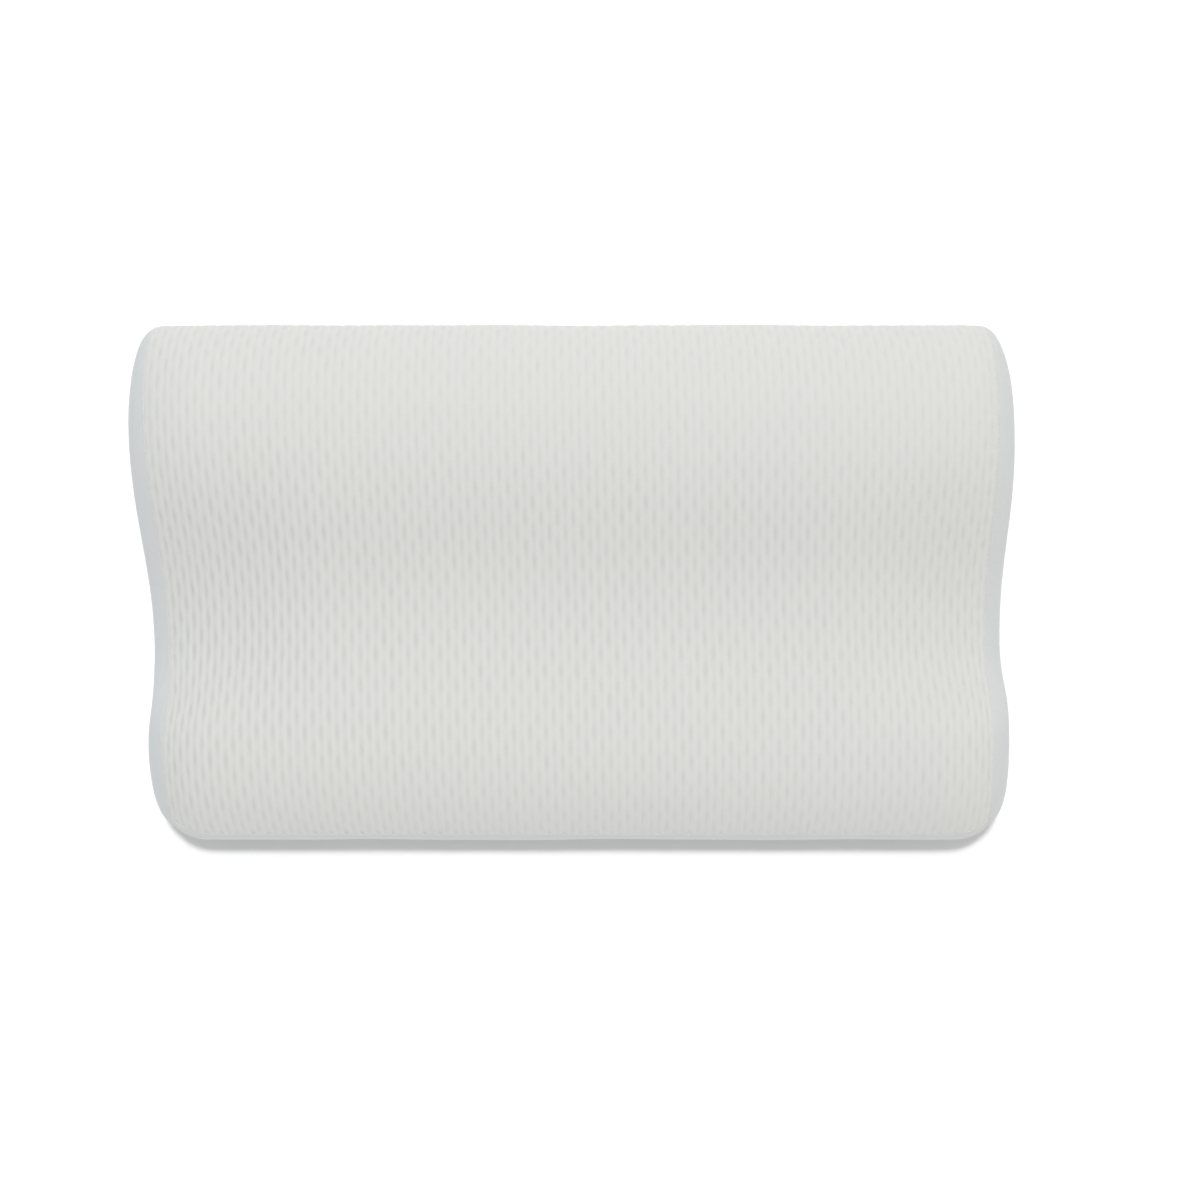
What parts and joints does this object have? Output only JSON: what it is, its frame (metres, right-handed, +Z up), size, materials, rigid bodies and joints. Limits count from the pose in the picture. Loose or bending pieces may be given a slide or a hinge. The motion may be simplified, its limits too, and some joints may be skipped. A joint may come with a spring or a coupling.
{
  "type": "contour bed pillow",
  "caption": "Wave-shaped foam neck pillow with a high back lobe, a dip and a lower front lobe, in a fitted knitted cover that closes with a zip at the back.",
  "frame": {"origin": "centre of the flat face that the pillow rests on", "axes": "+X along the pillow, +Y towards the high back lobe, +Z up from the resting face"},
  "size_m": [0.5, 0.3034, 0.102],
  "materials": {
    "foam": "matte",
    "liner_cloth": "matte",
    "knit_cover": "matte",
    "knit_plain": "matte",
    "thread": "matte",
    "zip_tape": "matte",
    "zip_coil": "satin",
    "zip_metal": "satin",
    "label_satin": "satin"
  },
  "bodies": {
    "pillow": {"foam_core": "foam", "inner_liner": "liner_cloth", "liner_closing_seam": "thread", "cover_top_panel": "knit_cover", "cover_base_panel": "knit_plain", "end_panel_left": "knit_plain", "end_panel_right": "knit_plain", "end_seam_left": "thread", "end_seam_right": "thread", "front_seam": "thread", "zip_end_seams": "thread", "zip_tape_upper": "zip_tape", "zip_tape_lower": "zip_tape", "zip_coil_upper": "zip_coil", "zip_coil_lower": "zip_coil", "zip_top_stops": "zip_metal", "zip_bottom_stop": "zip_metal", "zip_stitching_upper": "thread", "zip_stitching_lower": "thread", "zip_bar_tacks": "thread"},
    "slider": {"zip_slider_body": "zip_metal"},
    "pull": {"zip_pull_tab": "zip_metal"},
    "label": {"care_label": "label_satin"}
  },
  "joints": [
    {"name": "zip_slide", "type": "slide", "parent": "pillow", "child": "slider", "axis": [1, 0, 0], "range_m": [0, 0.3962]},
    {"name": "pull_swing", "type": "hinge", "parent": "slider", "child": "pull", "pos_m": [-0.1981, 0.15175, 0.032], "axis": [0, 0, 1], "range_deg": [0, 180]},
    {"name": "label_flap", "type": "hinge", "parent": "pillow", "child": "label", "pos_m": [0.136, 0.15075, 0.0242], "axis": [1, 0, 0], "range_deg": [0, 110]}
  ]
}
